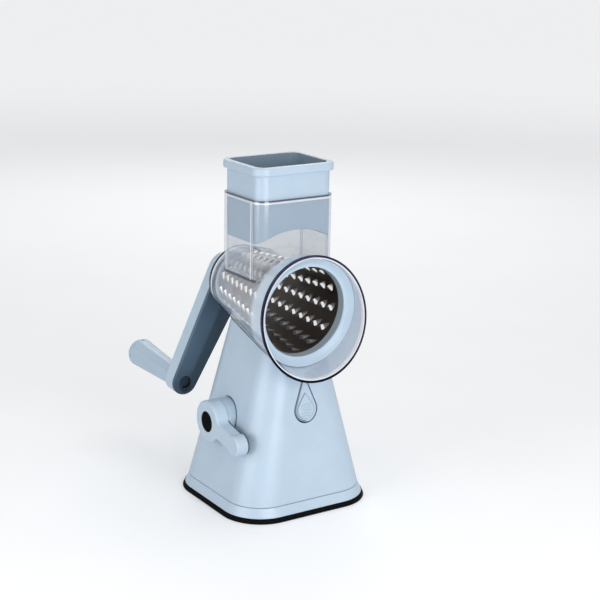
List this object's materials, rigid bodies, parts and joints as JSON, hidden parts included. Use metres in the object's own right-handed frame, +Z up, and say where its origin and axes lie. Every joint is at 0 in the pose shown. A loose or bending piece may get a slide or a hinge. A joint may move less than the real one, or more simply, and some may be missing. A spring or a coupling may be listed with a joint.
{
  "type": "rotary drum grater",
  "caption": "Hand cranked drum grater on a tapered base with a suction foot, clear hopper housing, pusher, toothed steel drum and side locking lever.",
  "frame": {"origin": "middle of the rubber foot, on the table that it stands on", "axes": "+Z up, -Y out of the barrel's mouth, -X towards the locking lever, crank at +Y"},
  "size_m": [0.13, 0.2269, 0.2785],
  "materials": {
    "blue_plastic": "light blue moulded plastic, satin gloss",
    "grip_plastic": "pale lavender blue moulded plastic, satin gloss",
    "pale_plastic": "pale grey blue moulded plastic",
    "slate_plastic": "dark slate blue, matte",
    "black_rubber": "black, matte",
    "black_plastic": "black, matte",
    "white_nylon": "natural nylon",
    "clear_plastic": "clear moulded plastic",
    "drum_steel": "stainless steel sheet, bright",
    "zinc_steel": "zinc plated",
    "dark_steel": "blackened steel",
    "spring_steel": "spring steel wire and strip"
  },
  "bodies": {
    "base": {"suction_pad": "black_rubber", "base_skirt": "blue_plastic", "base_screws": "zinc_steel", "base_column": "blue_plastic", "outer_bush": "white_nylon", "inner_bush": "white_nylon", "latch_pin": "zinc_steel", "latch_spring": "spring_steel", "food_chamber": "clear_plastic"},
    "lever": {"suction_lever": "blue_plastic", "lever_shaft": "black_plastic", "shaft_circlip": "spring_steel"},
    "plunger": {"pull_yoke": "white_nylon", "pull_rod": "zinc_steel", "rod_nut": "zinc_steel", "lift_plate": "white_nylon"},
    "release": {"release_button": "blue_plastic"},
    "pusher": {"food_pusher": "blue_plastic"},
    "crank": {"crank_arm": "blue_plastic", "crank_arm_cover": "slate_plastic", "grating_drum": "drum_steel", "drum_collar": "blue_plastic", "drum_hub": "pale_plastic", "detent_spring": "spring_steel", "grip_axle": "dark_steel", "axle_washer": "white_nylon", "axle_nut": "zinc_steel"},
    "detent": {"detent_button": "pale_plastic"},
    "grip": {"handle_grip": "grip_plastic", "grip_cap": "grip_plastic"}
  },
  "joints": [
    {"name": "crank_spin", "type": "hinge", "parent": "base", "child": "crank", "pos_m": [0, 0, 0.167], "axis": [0, 0.9986, 0.0523], "continuous": true},
    {"name": "grip_spin", "type": "hinge", "parent": "crank", "child": "grip", "pos_m": [-0.04384, 0.0047, 0.07724], "axis": [0, 0.9986, 0.0523], "continuous": true},
    {"name": "pusher_slide", "type": "slide", "parent": "base", "child": "pusher", "axis": [0, 0, 1], "range_m": [-0.019, 0.05]},
    {"name": "lever_turn", "type": "hinge", "parent": "base", "child": "lever", "pos_m": [-0.05, 0.004, 0.0695], "axis": [-1, 0, 0], "range_deg": [0, 120]},
    {"name": "plunger_slide", "type": "slide", "parent": "base", "child": "plunger", "axis": [0, 0, 1], "range_m": [-0.003, 0], "deforming": ["suction_pad"]},
    {"name": "release_press", "type": "hinge", "parent": "base", "child": "release", "pos_m": [0, -0.04229, 0.094], "axis": [1, 0, 0], "range_deg": [0, 6], "stiffness_Nm_per_rad": 0.05, "deforming": ["latch_spring"]},
    {"name": "detent_press", "type": "slide", "parent": "crank", "child": "detent", "axis": [0, -0.0523, 0.9986], "range_m": [-0.0038, 0], "stiffness_N_per_m": 80, "deforming": ["detent_spring"]}
  ],
  "couplings": [
    {"joint": "lever_turn", "follows": "plunger_slide", "rad_per_m": -698.13}
  ]
}
